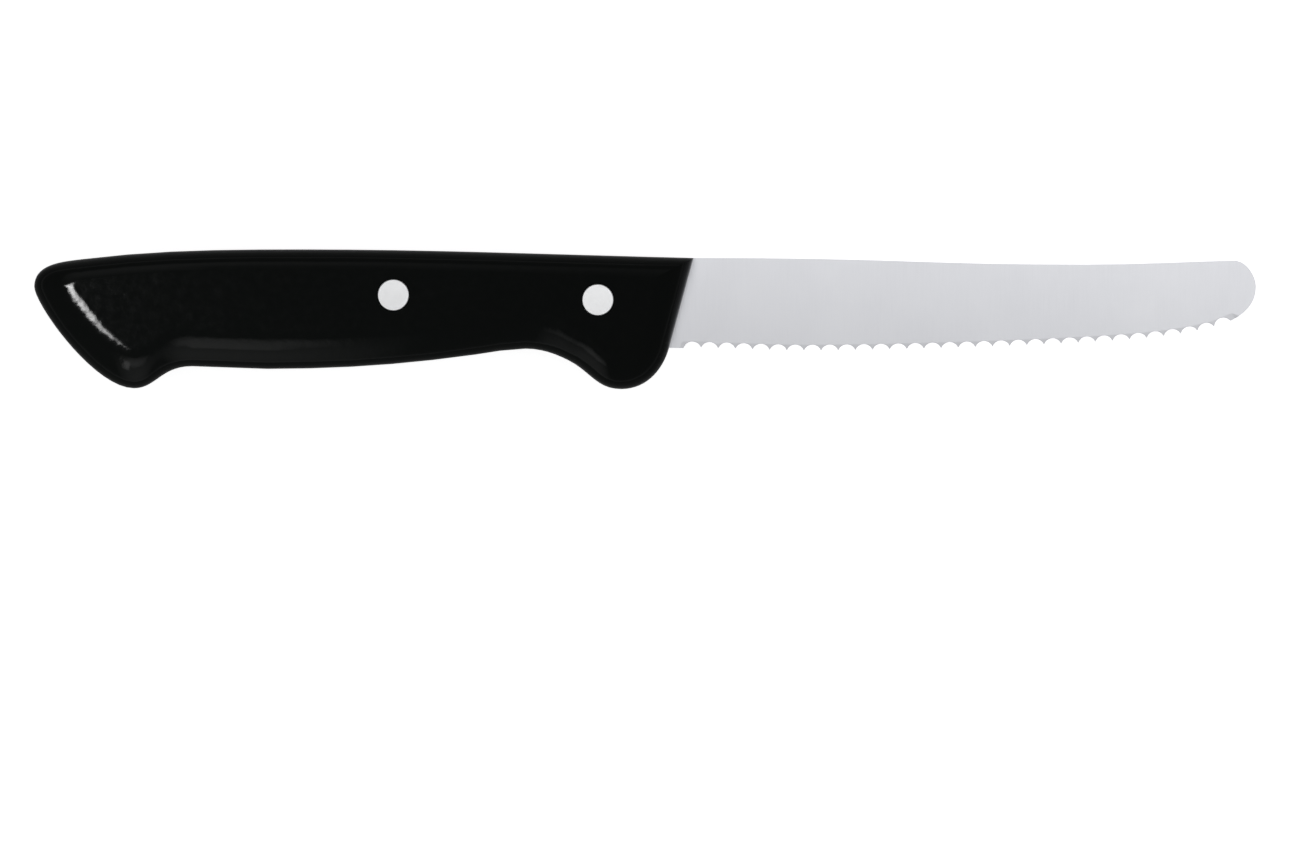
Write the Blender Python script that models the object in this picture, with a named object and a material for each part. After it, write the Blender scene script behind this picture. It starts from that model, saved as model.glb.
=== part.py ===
"""Serrated utility knife with a round tip: a full tang between two riveted handle scales.

The knife lies on its side. +X runs along the blade to the tip, +Y from the cutting edge to the spine
and +Z through the thickness. All sizes are in metres. Every piece is drawn from one datum, the corner
where the spine leaves the scales, in the middle of the steel's thickness. The empty called knife
carries the pieces and sets the middle of their footprint over the world's origin.
"""

import math
from collections import namedtuple

import bmesh
import bpy
from mathutils import Vector
from mathutils.geometry import interpolate_bezier

# Steel: blade and tang are one stamping
STEEL_THICKNESS = 0.0015
BLADE_REACH = 0.1059
BLADE_HEIGHT = 0.01695
SPINE_DIP = 0.00125
SPINE_DIP_REACH = 0.0740
TIP_SHOULDER_LENGTH = 0.0042
TIP_SHOULDER_DROP = 0.0005
TIP_NOSE_DROP = 0.0055
EDGE_BELLY_REACH = 0.0217
EDGE_BELLY_DEPTH = 0.0176
EDGE_TURN_LENGTH = 0.0175
EDGE_TURN_DEPTH = 0.0149
HEEL_FLAT = 0.0028

# Grinding of the blade's two faces
SPINE_RELIEF = 0.00005
EDGE_RELIEF = 0.00040
TIP_RELIEF = 0.00010
GRIND_START = 0.0005
GRIND_RUN_OUT = 0.0080

# Serration, ground from the lower face, and the narrow bevel that deburrs the upper face
SCALLOP_PITCH = 0.00323
SCALLOP_DEPTH = 0.0011
SCALLOP_ANGLE = 20.0
PLAIN_TIP_EDGE = 0.0070
BEVEL_WIDTH = 0.0010
BEVEL_DROP = 0.00012
BEVEL_LEAD_IN = 0.0004
BEVEL_LEAD_OUT = 0.0010
BEVEL_RUN_OUT = 0.0030

# Handle outline, measured back and down from the datum
HANDLE_LENGTH = 0.1241
FRONT_SLANT = 0.0046
CROWN_BACK = 0.0733
CROWN_RISE = 0.0016
BUTT_SHOULDER_SETBACK = 0.0090
BUTT_SHOULDER_DROP = 0.00024
BUTT_DROP = 0.0054
HOOK_SETBACK = 0.0188
HOOK_DEPTH = 0.02455
HOOK_WIDTH = 0.0109
HOOK_ROOT_DEPTH = 0.0204
BELLY_AHEAD_OF_HOOK = 0.0142
BELLY_DEPTH = 0.0209
GRIP_SLOPE_BACK = 0.0410
GRIP_SLOPE_DEPTH = 0.0182
HOLLOW_BACK = 0.0316
HOLLOW_DEPTH = 0.0171
GUARD_FLANK_BACK = 0.0235
GUARD_FLANK_DEPTH = 0.0193
GUARD_BACK = 0.0136
GUARD_DEPTH = 0.0247

# Handle scales: the wall that stays upright at the rim, and how far in the land, the scale's flat outer
# face, begins at each stretch of the rim
SCALE_THICKNESS = 0.0058
RIM_WALL = 0.0008
TOP_ROUNDING = 0.0039
FRONT_ROUNDING = 0.0060
GUARD_ROUNDING = 0.0062
HOLLOW_ROUNDING = 0.0080
BELLY_ROUNDING = 0.0083
HOOK_ROUNDING = 0.0080
BUTT_ROUNDING = 0.0077

# Rivets in two halves: a hollow barrel from below takes a solid stud from above
RIVET_HEAD_RADIUS = 0.0030
RIVET_HEAD_THICKNESS = 0.0012
RIVET_HEAD_CHAMFER = 0.00015
BARREL_RADIUS = 0.0020
BARREL_WALL = 0.00055
FRONT_RIVET_BACK = 0.0180
FRONT_RIVET_DEPTH = 0.0079
REAR_RIVET_BACK = 0.0565
REAR_RIVET_DEPTH = 0.0070

# Fits
SEAT_GAP = 0.0001
STUD_END_GAP = 0.0003
CUTTER_MARGIN = 0.0020
GRIND_OVERRUN = 0.0005
EDGE_STOCK = 0.00015

# Fineness of the facets
FACET_TURN = 5.0
FACET_LENGTH = 0.0090
ROUNDING_STEPS = 8
RUN_OUT_STEPS = 8
SCALLOP_STEPS = 10
TURNING_STEPS = 32
SHARP_ANGLE = 30.0

HALF_STEEL = STEEL_THICKNESS / 2
SCALE_BED = HALF_STEEL + SEAT_GAP
OUTER_FACE = SCALE_BED + SCALE_THICKNESS
RIVET_SEAT = OUTER_FACE - RIVET_HEAD_THICKNESS - SEAT_GAP

# A knot of an outline: its place, the heading of the curve there in degrees, how far the curve keeps
# to that heading before and after the knot, as a share of the way to the next knot, and the rounding
Knot = namedtuple("Knot", "x y heading pull_in pull_out rounding", defaults=(0.35, 0.35, 0.0))


def front_heading():
    """The slant of the scales' front edge, from the datum down to the heel."""
    return math.degrees(math.atan2(-BLADE_HEIGHT, -FRONT_SLANT))


def handle_knots():
    """The handle's outline from the heel, under the guard and round the butt, to the datum."""
    hook_x = HOOK_SETBACK - HANDLE_LENGTH
    root_x = hook_x + HOOK_WIDTH
    shoulder_x = BUTT_SHOULDER_SETBACK - HANDLE_LENGTH
    return [
        Knot(-FRONT_SLANT, -BLADE_HEIGHT, front_heading(), rounding=FRONT_ROUNDING),
        Knot(-GUARD_BACK, -GUARD_DEPTH, 180, 0.41, 0.41, GUARD_ROUNDING),
        Knot(-GUARD_FLANK_BACK, -GUARD_FLANK_DEPTH, 153, 0.41, rounding=GUARD_ROUNDING),
        Knot(-HOLLOW_BACK, -HOLLOW_DEPTH, 180, rounding=HOLLOW_ROUNDING),
        Knot(-GRIP_SLOPE_BACK, -GRIP_SLOPE_DEPTH, 188, rounding=HOLLOW_ROUNDING),
        Knot(root_x + BELLY_AHEAD_OF_HOOK, -BELLY_DEPTH, 180, rounding=BELLY_ROUNDING),
        Knot(root_x, -HOOK_ROOT_DEPTH, 180, pull_out=0.50, rounding=BELLY_ROUNDING),
        Knot(hook_x, -HOOK_DEPTH, 180, pull_out=0.28, rounding=HOOK_ROUNDING),
        Knot(-HANDLE_LENGTH, -BUTT_DROP, 90, 0.12, 0.42, BUTT_ROUNDING),
        Knot(shoulder_x, -BUTT_SHOULDER_DROP, 7.1, rounding=TOP_ROUNDING),
        Knot(-CROWN_BACK, CROWN_RISE, 0, rounding=TOP_ROUNDING),
        Knot(0, 0, -1.3, rounding=TOP_ROUNDING),
    ]


def spine_knots():
    """The blade's outline from the datum along the spine to the nose of the tip."""
    shoulder_x = BLADE_REACH - TIP_SHOULDER_LENGTH
    return [
        Knot(0, 0, 0, pull_out=0.55),
        Knot(SPINE_DIP_REACH, -SPINE_DIP, 0, pull_in=0.45),
        Knot(shoulder_x, -TIP_SHOULDER_DROP, 1.5),
        Knot(BLADE_REACH, -TIP_NOSE_DROP, -90),
    ]


def edge_knots():
    """The blade's outline from the nose of the tip back to the heel."""
    turn_x = BLADE_REACH - EDGE_TURN_LENGTH
    return [
        Knot(BLADE_REACH, -TIP_NOSE_DROP, -90),
        Knot(turn_x, -EDGE_TURN_DEPTH, 187.3, pull_out=0.20),
        Knot(EDGE_BELLY_REACH, -EDGE_BELLY_DEPTH, 180, pull_in=0.20),
        Knot(-FRONT_SLANT, -BLADE_HEIGHT, 180),
    ]


def direction(heading):
    return Vector((math.cos(math.radians(heading)), math.sin(math.radians(heading))))


def inward(heading):
    """The direction to the right of a heading, where every outline has its inside."""
    return Vector((math.sin(math.radians(heading)), -math.cos(math.radians(heading))))


def control_points(start, end):
    """The four points that draw the curve from one knot to the next."""
    first = Vector((start.x, start.y))
    last = Vector((end.x, end.y))
    reach = (last - first).length
    leaving = first + direction(start.heading) * start.pull_out * reach
    arriving = last - direction(end.heading) * end.pull_in * reach
    return first, leaving, arriving, last


def curve_points(controls, steps):
    first, leaving, arriving, last = controls
    return [Vector(point) for point in interpolate_bezier(first, leaving, arriving, last, steps + 1)]


def steps_needed(start, end):
    """Enough facets that none is too long and none turns too far from its neighbour."""
    rough = curve_points(control_points(start, end), 40)
    runs = [b - a for a, b in zip(rough, rough[1:])]
    turned = sum(math.degrees(a.angle(b)) for a, b in zip(runs, runs[1:]))
    length = sum(run.length for run in runs)
    return max(2, math.ceil(turned / FACET_TURN), math.ceil(length / FACET_LENGTH))


def outline_through(knots):
    """Points along a chain of knots, up to but not including the last knot."""
    points = []
    for start, end in zip(knots, knots[1:]):
        points += curve_points(control_points(start, end), steps_needed(start, end))[:-1]
    return points


def land_corner(first, last):
    """The mitred corner of the land, inside the corner of the rim where the chain of knots closes."""
    came = direction(last.heading)
    goes = direction(first.heading)
    return Vector((first.x, first.y)) + (came * first.rounding - goes * last.rounding) / came.cross(goes)


def land_span(start, end, first, last):
    """The curve of the land's edge between two places, bent about the same centres as the rim's."""
    rim_first, leaving, arriving, rim_last = control_points(start, end)
    turn = math.remainder(math.radians(start.heading - end.heading), math.tau)
    # The handles of a curve that draws an arc grow by this much for each unit of its radius
    growth = math.tan(turn / 4) * 4 / 3
    leaving_pull = max((leaving - rim_first).length - growth * start.rounding, 0)
    arriving_pull = max((rim_last - arriving).length - growth * end.rounding, 0)
    leaving = first + direction(start.heading) * leaving_pull
    arriving = last - direction(end.heading) * arriving_pull
    return first, leaving, arriving, last


def scale_outlines():
    """The scale's rim, clockwise from the datum, and the edge of its land, matched point by point."""
    knots = [Knot(0, 0, front_heading(), rounding=FRONT_ROUNDING)] + handle_knots()
    places = [Vector((knot.x, knot.y)) + inward(knot.heading) * knot.rounding for knot in knots]
    places[0] = places[-1] = land_corner(knots[0], knots[-1])
    land = []
    for start, end, first, last in zip(knots, knots[1:], places, places[1:]):
        land += curve_points(land_span(start, end, first, last), steps_needed(start, end))[:-1]
    return outline_through(knots), land


def new_object(name, bm, material, parent):
    bmesh.ops.recalc_face_normals(bm, faces=bm.faces[:])
    mesh = bpy.data.meshes.new(name)
    bm.to_mesh(mesh)
    bm.free()
    mesh.shade_smooth()
    mesh.set_sharp_from_angle(angle=math.radians(SHARP_ANGLE))
    mesh.materials.append(material)
    piece = bpy.data.objects.new(name, mesh)
    bpy.context.scene.collection.objects.link(piece)
    piece.parent = parent
    return piece


def new_cutter(name, bm, material, parent):
    """A hidden solid that only cuts. Its faces are split into triangles, so that each of them is flat."""
    bmesh.ops.triangulate(bm, faces=bm.faces[:])
    cutter = new_object(name, bm, material, parent)
    cutter.hide_render = True
    cutter.display_type = "WIRE"
    return cutter


def cut(piece, cutter):
    boolean = piece.modifiers.new(cutter.name, "BOOLEAN")
    boolean.operation = "DIFFERENCE"
    boolean.solver = "EXACT"
    boolean.object = cutter


def lofted(rings):
    """A closed solid through rings of points, capped at both ends."""
    bm = bmesh.new()
    loops = [[bm.verts.new(point) for point in ring] for ring in rings]
    for near, far in zip(loops, loops[1:]):
        for i in range(len(near)):
            bm.faces.new((near[i - 1], near[i], far[i], far[i - 1]))
    bm.faces.new(loops[0])
    bm.faces.new(loops[-1])
    return bm


def turned(profile):
    """A solid of revolution about Z from (radius, height) points that start and end on the axis."""
    bm = bmesh.new()
    verts = [bm.verts.new((radius, 0, height)) for radius, height in profile]
    edges = [bm.edges.new(pair) for pair in zip(verts, verts[1:])]
    bmesh.ops.spin(
        bm, geom=verts + edges, cent=(0, 0, 0), axis=(0, 0, 1), angle=math.tau, steps=TURNING_STEPS
    )
    bmesh.ops.remove_doubles(bm, verts=bm.verts[:], dist=1e-7)
    return bm


def steel_outline():
    """The stamping's outline, clockwise from the datum round the blade and the tang."""
    return outline_through(spine_knots()) + outline_through(edge_knots()) + outline_through(handle_knots())


def ahead_of_scales(place):
    """How far a point lies ahead of the scales' slanting front edge, measured along the blade."""
    return place.x - place.y * FRONT_SLANT / BLADE_HEIGHT


def face_level(place):
    """Height of the steel's face over its mid-plane: full at the tang, ground away towards the edge."""
    ahead = ahead_of_scales(place)
    t = min(max((ahead - GRIND_START) / GRIND_RUN_OUT, 0), 1)
    ease = t * t * (3 - 2 * t)
    taper = EDGE_RELIEF * -place.y / BLADE_HEIGHT + TIP_RELIEF * ahead / BLADE_REACH
    return HALF_STEEL - (SPINE_RELIEF + taper) * ease


def steel_blank(material, parent):
    """The stamping, with the ground faces of its blade running out just ahead of the scales."""
    bm = bmesh.new()
    bm.faces.new([bm.verts.new((p.x, p.y, 0)) for p in steel_outline()])
    for i in range(RUN_OUT_STEPS + 1):
        bmesh.ops.bisect_plane(
            bm,
            geom=bm.verts[:] + bm.edges[:] + bm.faces[:],
            dist=1e-6,
            plane_co=(GRIND_START + GRIND_RUN_OUT * i / RUN_OUT_STEPS, 0, 0),
            plane_no=(BLADE_HEIGHT, -FRONT_SLANT, 0),
        )
    run_out = [face for face in bm.faces if is_run_out(face.calc_center_median())]
    bmesh.ops.triangulate(bm, faces=run_out)
    under = bm.verts[:]
    raised = bmesh.ops.extrude_face_region(bm, geom=bm.faces[:], use_keep_orig=True)["geom"]
    for vert in under:
        vert.co.z = -face_level(vert.co)
    for vert in raised:
        if isinstance(vert, bmesh.types.BMVert):
            vert.co.z = face_level(vert.co)
    return new_object("blade_and_tang", bm, material, parent)


def is_run_out(place):
    return GRIND_START < ahead_of_scales(place) < GRIND_START + GRIND_RUN_OUT


def edge_points():
    """Finely spaced points of the edge line, from the heel to the nose of the tip."""
    knots = edge_knots()
    points = []
    for start, end in zip(knots, knots[1:]):
        points += curve_points(control_points(start, end), 200)[:-1]
    points.append(Vector((knots[-1].x, knots[-1].y)))
    return points[::-1]


def along(points, distance):
    """The place at a distance along the points, with the outward normal of the edge there."""
    for start, end in zip(points, points[1:]):
        run = end - start
        if distance <= run.length:
            return start + run.normalized() * distance, Vector((run.y, -run.x)).normalized()
        distance -= run.length
    return points[-1], Vector((run.y, -run.x)).normalized()


def scallop_count(points):
    length = sum((b - a).length for a, b in zip(points, points[1:]))
    return int((length - HEEL_FLAT - PLAIN_TIP_EDGE) / SCALLOP_PITCH)


def bevel_wheel(material, parent):
    """The narrow bevel along the upper face. It runs out on the heel flat and on the plain tip."""
    points = edge_points()
    first = HEEL_FLAT - BEVEL_LEAD_IN
    length = BEVEL_LEAD_IN + scallop_count(points) * SCALLOP_PITCH + BEVEL_LEAD_OUT
    steps = math.ceil(length / FACET_LENGTH) * 2
    slope = BEVEL_DROP / BEVEL_WIDTH
    stations = [(first / 2, GRIND_OVERRUN)]
    stations += [(first + length * i / steps, 0) for i in range(steps + 1)]
    stations.append((first + length + BEVEL_RUN_OUT, GRIND_OVERRUN))
    rings = []
    for distance, lift in stations:
        place, outward = along(points, distance)
        level = face_level(place) - BEVEL_DROP + lift
        inner = place - outward * (BEVEL_WIDTH + CUTTER_MARGIN)
        outer = place + outward * CUTTER_MARGIN
        low = level - CUTTER_MARGIN * slope
        high = level + (BEVEL_WIDTH + CUTTER_MARGIN) * slope
        rings.append([(outer.x, outer.y, low), (inner.x, inner.y, high), (outer.x, outer.y, high)])
    return new_cutter("edge_bevel", lofted(rings), material, parent)


def scallop_rise(share):
    """Depth of a scallop's arc at a share of its pitch, zero at the cusps on both sides."""
    half = SCALLOP_PITCH / 2
    radius = (half * half + SCALLOP_DEPTH * SCALLOP_DEPTH) / (2 * SCALLOP_DEPTH)
    offset = (share - 0.5) * SCALLOP_PITCH
    return math.sqrt(radius * radius - offset * offset) - (radius - SCALLOP_DEPTH)


def serration_wheel(material, parent):
    """The scallops, ground upwards through the steel from the lower face at a shallow angle."""
    points = edge_points()
    run_per_rise = 1 / math.tan(math.radians(SCALLOP_ANGLE))
    stretch = 1 + BEVEL_DROP / BEVEL_WIDTH * run_per_rise
    low = -HALF_STEEL - GRIND_OVERRUN
    rings = []
    for i in range(scallop_count(points) * SCALLOP_STEPS + 1):
        place, outward = along(points, HEEL_FLAT + SCALLOP_PITCH * i / SCALLOP_STEPS)
        depth = EDGE_STOCK + scallop_rise(i % SCALLOP_STEPS / SCALLOP_STEPS) * stretch
        level = face_level(place) - BEVEL_DROP
        high = level + GRIND_OVERRUN
        under = place - outward * (depth + (level - low) * run_per_rise)
        over = place - outward * (depth + (level - high) * run_per_rise)
        clear = place + outward * CUTTER_MARGIN * 2
        ring = [(under, low), (over, high), (clear, high), (clear, low)]
        rings.append([(p.x, p.y, z) for p, z in ring])
    return new_cutter("serration", lofted(rings), material, parent)


def handle_scale(name, side, material, parent):
    """A scale, flat where it beds on the tang and rounded over outside; side is 1 above, -1 below."""
    rim, land = scale_outlines()
    rings = [[(point.x, point.y, side * SCALE_BED) for point in rim]]
    for step in range(ROUNDING_STEPS + 1):
        angle = math.pi / 2 * step / ROUNDING_STEPS
        level = SCALE_BED + RIM_WALL + (SCALE_THICKNESS - RIM_WALL) * math.sin(angle)
        ring = [point.lerp(flat, 1 - math.cos(angle)) for point, flat in zip(rim, land)]
        rings.append([(point.x, point.y, side * level) for point in ring])
    return new_object(name, lofted(rings), material, parent)


def rivet_bore(name, place, material, parent):
    """One hole through the handle, with a seat for a rivet head at both ends."""
    hole = BARREL_RADIUS + SEAT_GAP
    seat = RIVET_HEAD_RADIUS + SEAT_GAP
    end = OUTER_FACE + CUTTER_MARGIN
    profile = [(0, -end), (seat, -end), (seat, -RIVET_SEAT), (hole, -RIVET_SEAT)]
    profile += [(hole, RIVET_SEAT), (seat, RIVET_SEAT), (seat, end), (0, end)]
    bore = new_cutter(name, turned(profile), material, parent)
    bore.location = place
    return bore


def rivet_barrel(name, place, material, parent):
    """The hollow half: its head is flush with the lower scale, its tube ends under the stud's head."""
    edge = RIVET_HEAD_RADIUS - RIVET_HEAD_CHAMFER
    head = RIVET_HEAD_THICKNESS - OUTER_FACE
    bore = BARREL_RADIUS - BARREL_WALL
    profile = [(0, -OUTER_FACE), (edge, -OUTER_FACE), (RIVET_HEAD_RADIUS, RIVET_HEAD_CHAMFER - OUTER_FACE)]
    profile += [(RIVET_HEAD_RADIUS, head), (BARREL_RADIUS, head), (BARREL_RADIUS, RIVET_SEAT)]
    profile += [(bore, RIVET_SEAT), (bore, head), (0, head)]
    barrel = new_object(name, turned(profile), material, parent)
    barrel.location = place
    return barrel


def rivet_stud(name, place, material, parent):
    """The solid half: its head is flush with the upper scale, its shank fills the barrel."""
    edge = RIVET_HEAD_RADIUS - RIVET_HEAD_CHAMFER
    head = OUTER_FACE - RIVET_HEAD_THICKNESS
    shank = BARREL_RADIUS - BARREL_WALL - SEAT_GAP
    end = RIVET_HEAD_THICKNESS - OUTER_FACE + STUD_END_GAP
    profile = [(0, end), (shank, end), (shank, head), (RIVET_HEAD_RADIUS, head)]
    profile += [(RIVET_HEAD_RADIUS, OUTER_FACE - RIVET_HEAD_CHAMFER), (edge, OUTER_FACE), (0, OUTER_FACE)]
    stud = new_object(name, turned(profile), material, parent)
    stud.location = place
    return stud


def finish(name, colour, roughness, metallic=0.0):
    material = bpy.data.materials.new(name)
    material.use_nodes = True
    shader = material.node_tree.nodes["Principled BSDF"]
    shader.inputs["Base Color"].default_value = (*colour, 1)
    shader.inputs["Roughness"].default_value = roughness
    shader.inputs["Metallic"].default_value = metallic
    material.diffuse_color = (*colour, 1)
    return material


def knife_datum():
    """The empty that carries the knife, with the middle of the footprint over the world's origin."""
    outline = steel_outline()
    middle_x = (min(p.x for p in outline) + max(p.x for p in outline)) / 2
    middle_y = (min(p.y for p in outline) + max(p.y for p in outline)) / 2
    datum = bpy.data.objects.new("knife", None)
    datum.location = (-middle_x, -middle_y, OUTER_FACE)
    bpy.context.scene.collection.objects.link(datum)
    return datum


def build():
    for old in list(bpy.data.objects):
        bpy.data.objects.remove(old, do_unlink=True)
    knife = knife_datum()
    blade_steel = finish("satin_blade_steel", (0.64, 0.65, 0.67), 0.35, metallic=1.0)
    rivet_metal = finish("rivet_metal", (0.79, 0.80, 0.82), 0.30, metallic=1.0)
    black_plastic = finish("black_handle_plastic", (0.006, 0.007, 0.006), 0.35)

    blade = steel_blank(blade_steel, knife)
    upper = handle_scale("upper_handle_scale", 1, black_plastic, knife)
    lower = handle_scale("lower_handle_scale", -1, black_plastic, knife)
    rivet_sites = {
        "front_rivet": Vector((-FRONT_RIVET_BACK, -FRONT_RIVET_DEPTH, 0)),
        "rear_rivet": Vector((-REAR_RIVET_BACK, -REAR_RIVET_DEPTH, 0)),
    }
    for name, place in rivet_sites.items():
        bore = rivet_bore(name + "_bore", place, rivet_metal, knife)
        for piece in (blade, upper, lower):
            cut(piece, bore)
        rivet_barrel(name + "_barrel", place, rivet_metal, knife)
        rivet_stud(name + "_stud", place, rivet_metal, knife)
    cut(blade, bevel_wheel(blade_steel, knife))
    cut(blade, serration_wheel(blade_steel, knife))


build()
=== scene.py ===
"""Serrated utility knife, lying on its side on a pale table and seen from straight above."""

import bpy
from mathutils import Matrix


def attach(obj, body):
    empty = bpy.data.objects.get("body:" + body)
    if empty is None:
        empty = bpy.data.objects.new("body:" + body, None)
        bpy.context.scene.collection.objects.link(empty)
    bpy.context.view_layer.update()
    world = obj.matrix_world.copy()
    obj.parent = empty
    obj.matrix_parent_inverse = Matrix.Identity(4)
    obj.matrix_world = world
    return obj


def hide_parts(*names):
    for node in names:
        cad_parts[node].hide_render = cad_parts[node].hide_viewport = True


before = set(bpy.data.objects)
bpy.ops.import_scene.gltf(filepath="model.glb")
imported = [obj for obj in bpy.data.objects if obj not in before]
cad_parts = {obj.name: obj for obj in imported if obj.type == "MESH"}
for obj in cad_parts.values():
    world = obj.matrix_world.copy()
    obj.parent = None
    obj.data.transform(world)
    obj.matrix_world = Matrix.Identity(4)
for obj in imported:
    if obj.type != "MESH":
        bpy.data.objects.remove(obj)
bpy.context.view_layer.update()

import math
from collections import namedtuple

import bmesh
import bpy
from mathutils import Vector

# Camera: the photograph's frame, in metres on the table, and the reach of the view
VIEW_WIDTH = 0.24548
VIEW_CENTRE = (0.0013, -0.0216)
CAMERA_HEIGHT = 0.6
NEAREST_SEEN = 0.01
FARTHEST_SEEN = 10

# Corners this close are one corner, neighbours this near to level are one face, and a face with more
# than this area is a flat one
MERGE_DISTANCE = 0.000002
LEVEL_ANGLE = math.radians(0.2)
FLAT_FACE_AREA = 0.00002

# Edges sharper than this stay sharp in the shading
SHARP_STEEL_EDGE = math.radians(20)
SHARP_PLASTIC_EDGE = math.radians(40)
SHARP_RIVET_EDGE = math.radians(30)

# The rounding along the stamped outline of the steel. The normal of a wall there rises less than
# WALL_LIFT, and that of a flat side more than FLAT_SIDE_LIFT
STEEL_EDGE_BREAK = 0.00012
EDGE_BREAK_STEPS = 2
WALL_LIFT = 0.05
FLAT_SIDE_LIFT = 0.99

# The mitre at a scale's front corner: both its faces lean by more than this, in directions that are
# more than this apart
MITRE_LEAN = 0.02
MITRE_TURN = math.radians(30)

# A finish: its mean colour, the darkest and the lightest that it wanders to, its gloss, and the grains
# in a metre along each axis. The raised ones stand out by the relief, in metres, and the clouded ones
# change the colour, where the raised ones don't do both
Finish = namedtuple(
    "Finish",
    "name colour dark light metallic specular roughness smoothest roughest relief detail raised clouded",
    defaults=(None,),
)

BLADE_STEEL = Finish(
    name="satin blade steel",
    colour=(0.66, 0.66, 0.68),
    dark=(0.632, 0.638, 0.668),
    light=(0.684, 0.690, 0.715),
    metallic=1.0,
    specular=0.5,
    roughness=0.42,
    smoothest=0.36,
    roughest=0.48,
    relief=0.000004,
    detail=4,
    raised=(5000, 160, 160),
    clouded=(90, 60, 60),
)

RIVET_ALUMINIUM = Finish(
    name="rivet aluminium",
    colour=(0.79, 0.79, 0.80),
    dark=(0.765, 0.77, 0.78),
    light=(0.805, 0.81, 0.815),
    metallic=1.0,
    specular=0.5,
    roughness=0.34,
    smoothest=0.30,
    roughest=0.40,
    relief=0.000002,
    detail=4,
    raised=(700, 6000, 700),
)

BLACK_PLASTIC = Finish(
    name="moulded black plastic",
    colour=(0.0040, 0.0050, 0.0046),
    dark=(0.0034, 0.0044, 0.0040),
    light=(0.0046, 0.0056, 0.0052),
    metallic=0.0,
    specular=0.08,
    roughness=0.08,
    smoothest=0.06,
    roughest=0.095,
    relief=0.00003,
    detail=3,
    raised=(450, 450, 450),
    clouded=(700, 700, 700),
)

# Noise gathers round its middle, so this part of it is spread over the whole range of roughness
NOISE_LOW = 0.3
NOISE_HIGH = 0.7

# The table lies just under the knife, so that their faces stay apart, and glows as white paper
TABLE_SIZE = 3
TABLE_CLEARANCE = 0.00005
TABLE_COLOUR = (0.9, 0.9, 0.9, 1)
TABLE_ROUGHNESS = 0.9
TABLE_SPECULAR = 0.1
TABLE_GLOW = 0.86
WHITE = (1, 1, 1, 1)

# The surroundings shine more along the horizon than overhead, and fade between these angles over it
HORIZON_LEVEL = 0.7
OVERHEAD_LEVEL = 0.27
HORIZON_TOP = math.radians(1)
OVERHEAD_START = math.radians(9)

# A lamp: where its middle is, what it aims at, its width and height and how strongly it shines. A
# soft one fades to its edges, and a glint shows in reflections alone
Lamp = namedtuple("Lamp", "name place aim size radiance soft glint", defaults=(False, False))

STEEL_LAMPS = (
    Lamp("steel softbox", (0.08, 0.057, 0.095), (0.073, 0.0067, 0.0075), (0.80, 0.147), 0.70),
    Lamp("steel fill", (0.05, 0, 0.60), (0.05, 0, 0), (3.0, 3.0), 0.385),
)

PLASTIC_LAMPS = (
    Lamp(
        "butt light", (-0.208, -0.021, 0.50), (-0.112, 0, 0.008), (0.13, 0.16), 122, soft=True, glint=True
    ),
    Lamp("belly light", (-0.090, -0.090, 0.060), (-0.090, -0.010, 0.008), (0.110, 0.139), 1.0, soft=True),
    Lamp("belly strip", (-0.095, -0.090, 0.147), (-0.095, -0.010, 0.008), (0.090, 0.062), 1.6, soft=True),
    Lamp("hook light", (-0.124, -0.090, 0.112), (-0.105, -0.010, 0.008), (0.026, 0.06), 4.2, soft=True),
    Lamp("crown light", (-0.20, 0.50, 0.50), (-0.20, 0.50, 0), (0.40, 0.90), 0.50, soft=True),
    Lamp("wide crown light", (0.0, 0.50, 0.48), (0.0, 0.50, 0), (0.60, 0.90), 0.26, soft=True),
)


def leave_nothing_selected():
    bpy.ops.object.select_all(action="DESELECT")


def work_on(piece):
    leave_nothing_selected()
    piece.select_set(True)
    bpy.context.view_layer.objects.active = piece


def merged_copy(node, name, material):
    """A copy of a solid with its loose corners joined and its flat faces whole again."""
    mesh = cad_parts[node].data.copy()
    mesh.materials.clear()
    mesh.materials.append(material)
    piece = bpy.data.objects.new(name, mesh)
    bpy.context.scene.collection.objects.link(piece)
    work_on(piece)
    bpy.ops.object.mode_set(mode="EDIT")
    bpy.ops.mesh.select_all(action="SELECT")
    bpy.ops.mesh.remove_doubles(threshold=MERGE_DISTANCE)
    bpy.ops.mesh.dissolve_limited(angle_limit=LEVEL_ANGLE)
    bpy.ops.object.mode_set(mode="OBJECT")
    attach(piece, "root")
    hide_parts(node)
    return piece


def select_edges(piece, wanted):
    """In edit mode, selects the edges of a piece for which wanted says yes."""
    bpy.ops.mesh.select_mode(type="EDGE")
    bpy.ops.mesh.select_all(action="DESELECT")
    solid = bmesh.from_edit_mesh(piece.data)
    for edge in solid.edges:
        edge.select_set(len(edge.link_faces) == 2 and wanted(edge))
    bmesh.update_edit_mesh(piece.data)


def select_large_faces(piece):
    bpy.ops.mesh.select_all(action="DESELECT")
    solid = bmesh.from_edit_mesh(piece.data)
    for face in solid.faces:
        face.select_set(face.calc_area() > FLAT_FACE_AREA)
    bmesh.update_edit_mesh(piece.data)


def is_mitre(edge):
    """The scale's front corner, where two faces lean in quite different directions."""
    leans = [Vector(face.normal.xy) for face in edge.link_faces]
    return min(lean.length for lean in leans) > MITRE_LEAN and leans[0].angle(leans[1]) > MITRE_TURN


def sharpen_mitre(scale):
    work_on(scale)
    bpy.ops.object.mode_set(mode="EDIT")
    select_edges(scale, is_mitre)
    bpy.ops.mesh.mark_sharp()
    bpy.ops.object.mode_set(mode="OBJECT")


def is_stamped_corner(edge):
    """An edge between a flat side of the steel and the wall round its outline."""
    lifts = sorted(abs(face.normal.z) for face in edge.link_faces)
    return lifts[0] < WALL_LIFT and lifts[1] > FLAT_SIDE_LIFT


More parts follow.
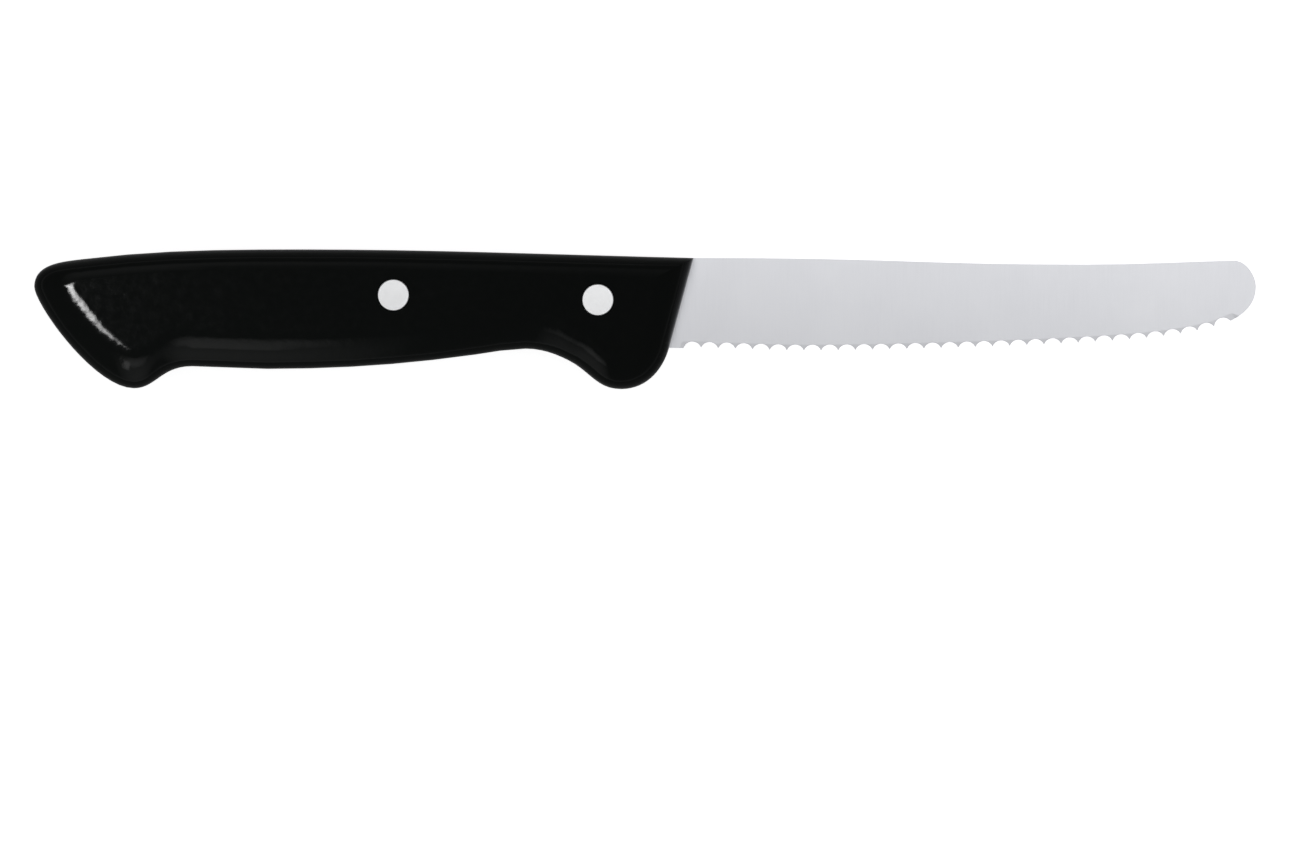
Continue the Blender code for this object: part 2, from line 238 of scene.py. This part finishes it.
def break_steel_edges(blade):
    """Takes the sharpness off the stamped outline, and leaves the ground teeth alone."""
    work_on(blade)
    bpy.ops.object.mode_set(mode="EDIT")
    select_edges(blade, is_stamped_corner)
    bpy.ops.mesh.bevel(
        offset=STEEL_EDGE_BREAK, segments=EDGE_BREAK_STEPS, affect="EDGES", clamp_overlap=True
    )
    bpy.ops.object.mode_set(mode="OBJECT")


def keep_faces_flat(piece, sharp_edge):
    """Smooth shading in which the large flat faces stay flat up to their edges."""
    work_on(piece)
    bpy.ops.object.shade_smooth_by_angle(angle=sharp_edge, keep_sharp_edges=True)
    bpy.ops.object.mode_set(mode="EDIT")
    bpy.ops.mesh.select_mode(type="FACE")
    bpy.ops.mesh.select_all(action="SELECT")
    bpy.ops.mesh.mod_weighted_strength(set=True, face_strength="WEAK")
    select_large_faces(piece)
    bpy.ops.mesh.mod_weighted_strength(set=True, face_strength="STRONG")
    bpy.ops.object.mode_set(mode="OBJECT")
    weighting = piece.modifiers.new("flat faces", "WEIGHTED_NORMAL")
    weighting.use_face_influence = True
    weighting.keep_sharp = True
    bpy.ops.object.modifier_apply(modifier=weighting.name)


def new_material(finish):
    material = bpy.data.materials.new(finish.name)
    material.use_nodes = True
    shader = material.node_tree.nodes["Principled BSDF"]
    shader.inputs["Base Color"].default_value = (*finish.colour, 1)
    shader.inputs["Metallic"].default_value = finish.metallic
    shader.inputs["Roughness"].default_value = finish.roughness
    shader.inputs["Specular IOR Level"].default_value = finish.specular
    return material.node_tree, shader, material


def grain(tree, grains_per_metre, detail):
    """Noise that is fixed to the knife."""
    place = tree.nodes.new("ShaderNodeTexCoord")
    mapping = tree.nodes.new("ShaderNodeMapping")
    mapping.inputs["Scale"].default_value = grains_per_metre
    noise = tree.nodes.new("ShaderNodeTexNoise")
    noise.inputs["Scale"].default_value = 1
    noise.inputs["Detail"].default_value = detail
    tree.links.new(place.outputs["Object"], mapping.inputs["Vector"])
    tree.links.new(mapping.outputs["Vector"], noise.inputs["Vector"])
    return noise.outputs["Fac"]


def tint(tree, shader, noise, finish):
    """Lets the colour wander between the finish's darkest and its lightest."""
    blend = tree.nodes.new("ShaderNodeMix")
    blend.data_type = "RGBA"
    blend.inputs["A"].default_value = (*finish.dark, 1)
    blend.inputs["B"].default_value = (*finish.light, 1)
    tree.links.new(noise, blend.inputs["Factor"])
    tree.links.new(blend.outputs["Result"], shader.inputs["Base Color"])


def roughen(tree, shader, noise, finish):
    """Lets the roughness wander between the finish's smoothest and its roughest."""
    spread = tree.nodes.new("ShaderNodeMapRange")
    spread.inputs["From Min"].default_value = NOISE_LOW
    spread.inputs["From Max"].default_value = NOISE_HIGH
    spread.inputs["To Min"].default_value = finish.smoothest
    spread.inputs["To Max"].default_value = finish.roughest
    tree.links.new(noise, spread.inputs["Value"])
    tree.links.new(spread.outputs["Result"], shader.inputs["Roughness"])


def raise_grain(tree, shader, noise, finish):
    """Gives the surface the relief of its grain."""
    bump = tree.nodes.new("ShaderNodeBump")
    bump.inputs["Strength"].default_value = 1
    bump.inputs["Distance"].default_value = finish.relief
    tree.links.new(noise, bump.inputs["Height"])
    tree.links.new(bump.outputs["Normal"], shader.inputs["Normal"])


def satin_steel():
    """Satin grinding whose fine lines run from the spine to the edge, on a faintly clouded face."""
    tree, shader, material = new_material(BLADE_STEEL)
    lines = grain(tree, BLADE_STEEL.raised, BLADE_STEEL.detail)
    clouds = grain(tree, BLADE_STEEL.clouded, BLADE_STEEL.detail)
    tint(tree, shader, clouds, BLADE_STEEL)
    roughen(tree, shader, lines, BLADE_STEEL)
    raise_grain(tree, shader, lines, BLADE_STEEL)
    return material


def ground_aluminium():
    """Rivet heads ground flush with the scales, with fine, short lines."""
    tree, shader, material = new_material(RIVET_ALUMINIUM)
    lines = grain(tree, RIVET_ALUMINIUM.raised, RIVET_ALUMINIUM.detail)
    tint(tree, shader, lines, RIVET_ALUMINIUM)
    roughen(tree, shader, lines, RIVET_ALUMINIUM)
    raise_grain(tree, shader, lines, RIVET_ALUMINIUM)
    return material


def moulded_black():
    """Moulded plastic with a fine skin, slightly glossier in some spots than in others."""
    tree, shader, material = new_material(BLACK_PLASTIC)
    skin = grain(tree, BLACK_PLASTIC.raised, BLACK_PLASTIC.detail)
    spots = grain(tree, BLACK_PLASTIC.clouded, BLACK_PLASTIC.detail)
    tint(tree, shader, spots, BLACK_PLASTIC)
    roughen(tree, shader, spots, BLACK_PLASTIC)
    raise_grain(tree, shader, skin, BLACK_PLASTIC)
    return material


def make_blade():
    blade = merged_copy("blade_and_tang", "satin_blade_and_tang", satin_steel())
    break_steel_edges(blade)
    keep_faces_flat(blade, SHARP_STEEL_EDGE)
    return blade


def make_scales():
    """The two handle scales, each with the mitre at its front corner kept crisp."""
    black = moulded_black()
    scales = []
    for side in ("upper", "lower"):
        scale = merged_copy(side + "_handle_scale", side + "_moulded_scale", black)
        sharpen_mitre(scale)
        keep_faces_flat(scale, SHARP_PLASTIC_EDGE)
        scales.append(scale)
    return scales


def make_rivets():
    """The front and the rear rivet, each a barrel and the stud that closes it."""
    aluminium = ground_aluminium()
    halves = []
    for place in ("front", "rear"):
        for half in ("barrel", "stud"):
            node = place + "_rivet_" + half
            rivet = merged_copy(node, "flush_" + node, aluminium)
            keep_faces_flat(rivet, SHARP_RIVET_EDGE)
            halves.append(rivet)
    return halves


def collected(name, pieces):
    collection = bpy.data.collections.new(name)
    for piece in pieces:
        collection.objects.link(piece)
    return collection


def joined(tree, operation, first, second):
    """Adds a Math node for two values, each of them a number or another node's output."""
    node = tree.nodes.new("ShaderNodeMath")
    node.operation = operation
    for socket, value in zip(node.inputs, (first, second)):
        if isinstance(value, bpy.types.NodeSocket):
            tree.links.new(value, socket)
        else:
            socket.default_value = value
    return node.outputs["Value"]


def glow_in_view(tree, shader):
    """The table glows for the camera and in reflections, and throws none of that glow about."""
    path = tree.nodes.new("ShaderNodeLightPath")
    seen = joined(tree, "MAXIMUM", path.outputs["Is Camera Ray"], path.outputs["Is Glossy Ray"])
    seen = joined(tree, "MAXIMUM", seen, path.outputs["Is Transmission Ray"])
    shader.inputs["Emission Color"].default_value = WHITE
    tree.links.new(joined(tree, "MULTIPLY", seen, TABLE_GLOW), shader.inputs["Emission Strength"])


def clear_from_below(tree, shader):
    """Leaves the top of the table as it is and lets a view from below through."""
    face = tree.nodes.new("ShaderNodeNewGeometry")
    clear = tree.nodes.new("ShaderNodeBsdfTransparent")
    sides = tree.nodes.new("ShaderNodeMixShader")
    tree.links.new(face.outputs["Backfacing"], sides.inputs["Fac"])
    tree.links.new(shader.outputs["BSDF"], sides.inputs[1])
    tree.links.new(clear.outputs["BSDF"], sides.inputs[2])
    tree.links.new(sides.outputs["Shader"], tree.nodes["Material Output"].inputs["Surface"])


def make_table(glowing_on):
    """A pale floor whose glow reaches the metal only, so the black plastic keeps dark rims."""
    bpy.ops.mesh.primitive_plane_add(size=TABLE_SIZE, location=(0, 0, -TABLE_CLEARANCE))
    table = bpy.context.object
    table.name = "table"
    material = bpy.data.materials.new("pale table")
    material.use_nodes = True
    tree = material.node_tree
    shader = tree.nodes["Principled BSDF"]
    shader.inputs["Base Color"].default_value = TABLE_COLOUR
    shader.inputs["Roughness"].default_value = TABLE_ROUGHNESS
    shader.inputs["Specular IOR Level"].default_value = TABLE_SPECULAR
    glow_in_view(tree, shader)
    clear_from_below(tree, shader)
    table.data.materials.append(material)
    table.light_linking.receiver_collection = glowing_on


def make_world():
    """Dim surroundings with a pale band along the horizon, which the camera itself sees as white."""
    world = bpy.data.worlds.new("studio")
    bpy.context.scene.world = world
    world.use_nodes = True
    tree = world.node_tree
    place = tree.nodes.new("ShaderNodeTexCoord")
    split = tree.nodes.new("ShaderNodeSeparateXYZ")
    fade = tree.nodes.new("ShaderNodeMapRange")
    fade.interpolation_type = "SMOOTHSTEP"
    fade.inputs["From Min"].default_value = math.sin(HORIZON_TOP)
    fade.inputs["From Max"].default_value = math.sin(OVERHEAD_START)
    fade.inputs["To Min"].default_value = HORIZON_LEVEL
    fade.inputs["To Max"].default_value = OVERHEAD_LEVEL
    path = tree.nodes.new("ShaderNodeLightPath")
    level = joined(tree, "MAXIMUM", fade.outputs["Result"], path.outputs["Is Camera Ray"])
    backdrop = tree.nodes["Background"]
    backdrop.inputs["Color"].default_value = WHITE
    tree.links.new(place.outputs["Generated"], split.inputs["Vector"])
    tree.links.new(split.outputs["Z"], fade.inputs["Value"])
    tree.links.new(level, backdrop.inputs["Strength"])


def soften_edges(light):
    """Across each side of a lamp, 4 s (1 - s) is 1 in the middle and falls to 0 at both edges."""
    light.use_nodes = True
    tree = light.node_tree
    face = tree.nodes.new("ShaderNodeNewGeometry")
    split = tree.nodes.new("ShaderNodeSeparateXYZ")
    tree.links.new(face.outputs["Parametric"], split.inputs["Vector"])
    strength = 1
    for side in ("X", "Y"):
        share = split.outputs[side]
        bell = joined(tree, "MULTIPLY", share, joined(tree, "SUBTRACT", 1, share))
        strength = joined(tree, "MULTIPLY", strength, joined(tree, "MULTIPLY", 4, bell))
    tree.links.new(strength, tree.nodes["Emission"].inputs["Strength"])


def softbox(lamp, lit):
    """A rectangular lamp that shines on the given pieces alone, as lamps between black cards do."""
    light = bpy.data.lights.new(lamp.name, "AREA")
    light.shape = "RECTANGLE"
    light.size, light.size_y = lamp.size
    light.energy = lamp.radiance * math.pi * light.size * light.size_y
    if lamp.soft:
        soften_edges(light)
    holder = bpy.data.objects.new(lamp.name, light)
    bpy.context.scene.collection.objects.link(holder)
    holder.location = lamp.place
    holder.rotation_euler = (Vector(lamp.aim) - holder.location).to_track_quat("-Z", "Y").to_euler()
    holder.visible_camera = False
    holder.visible_diffuse = not lamp.glint
    holder.light_linking.receiver_collection = lit


def make_lights(metal, plastic):
    for lamp in STEEL_LAMPS:
        softbox(lamp, metal)
    for lamp in PLASTIC_LAMPS:
        softbox(lamp, plastic)


def make_camera():
    camera = bpy.data.cameras.new("camera")
    camera.type = "ORTHO"
    camera.ortho_scale = VIEW_WIDTH
    camera.clip_start = NEAREST_SEEN
    camera.clip_end = FARTHEST_SEEN
    holder = bpy.data.objects.new("camera", camera)
    bpy.context.scene.collection.objects.link(holder)
    holder.location = (*VIEW_CENTRE, CAMERA_HEIGHT)
    bpy.context.scene.camera = holder


leave_nothing_selected()
blade = make_blade()
scales = make_scales()
rivets = make_rivets()
metal = collected("steel and rivets", [blade] + rivets)
plastic = collected("handle scales", scales)
make_table(metal)
make_world()
make_lights(metal, plastic)
make_camera()
bpy.context.scene.view_settings.view_transform = "Standard"
leave_nothing_selected()
